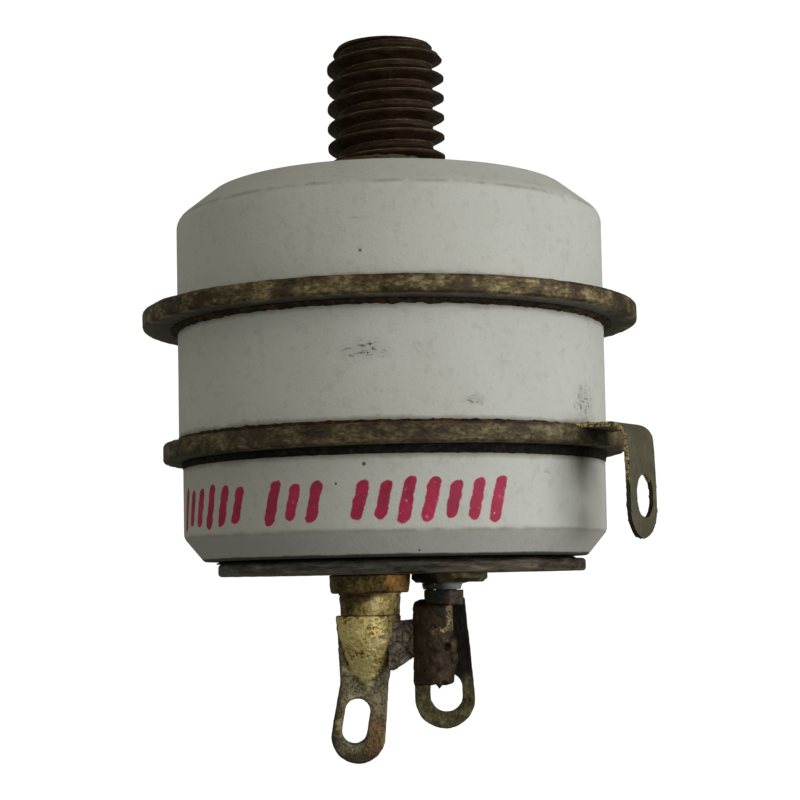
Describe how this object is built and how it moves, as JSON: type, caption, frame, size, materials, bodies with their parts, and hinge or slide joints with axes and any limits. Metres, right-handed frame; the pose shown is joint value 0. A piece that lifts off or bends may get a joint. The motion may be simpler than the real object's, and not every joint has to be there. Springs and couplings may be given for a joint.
{
  "type": "metal-ceramic planar triode",
  "caption": "Small metal-ceramic planar triode: stacked white ceramic cylinders with brass contact rings, a threaded anode stud on top and solder lugs for cathode and heater.",
  "frame": {"origin": "on the tube's axis, on top of the brass collar at the foot of the threaded stud, where a heat sink or plate seats", "axes": "+Z along the axis towards the stud's tip; +X towards the second heater terminal, so both heater terminals lie in the XZ plane; the cathode lug is 32 degrees from +X towards -Y"},
  "size_m": [0.0194, 0.0194, 0.0284],
  "materials": {
    "dark_bronze": "satin",
    "tarnished_brass": "satin",
    "lug_brass": "satin",
    "gold_brass": "satin",
    "brown_brass": "matte",
    "dark_braze": "matte",
    "black_braze": "satin",
    "rusty_steel": "satin",
    "old_solder": "matte",
    "bead_glass": "gloss",
    "ceramic_white": "matte",
    "oxide_white": "matte",
    "anode_copper": "satin",
    "bright_nickel": "satin",
    "tungsten_wire": "satin"
  },
  "bodies": {
    "root": {"anode_block": "anode_copper", "anode_braze": "dark_braze", "anode_collar": "tarnished_brass", "anode_stud": "dark_bronze", "cathode_braze_lower": "black_braze", "cathode_braze_upper": "dark_braze", "cathode_cap": "bright_nickel", "cathode_coating": "oxide_white", "cathode_lug": "lug_brass", "cathode_ring": "tarnished_brass", "cathode_sleeve": "bright_nickel", "feedthrough_glass_b": "bead_glass", "grid_braze_lower": "dark_braze", "grid_braze_upper": "dark_braze", "grid_flange": "tarnished_brass", "grid_frame": "bright_nickel", "grid_wires": "tungsten_wire", "heat_shield": "bright_nickel", "heater_barrel_b": "brown_brass", "heater_braze": "black_braze", "heater_disc": "rusty_steel", "heater_lead_a": "tungsten_wire", "heater_lead_b": "tungsten_wire", "heater_lug_a": "gold_brass", "heater_lug_b": "lug_brass", "heater_nut_b": "brown_brass", "heater_pin_b": "tungsten_wire", "heater_post_a": "gold_brass", "heater_solder_a": "old_solder", "heater_washer_b": "lug_brass", "heater_wire": "oxide_white", "lower_ceramic": "ceramic_white", "middle_ceramic": "ceramic_white", "upper_ceramic": "ceramic_white"}
  },
  "joints": []
}
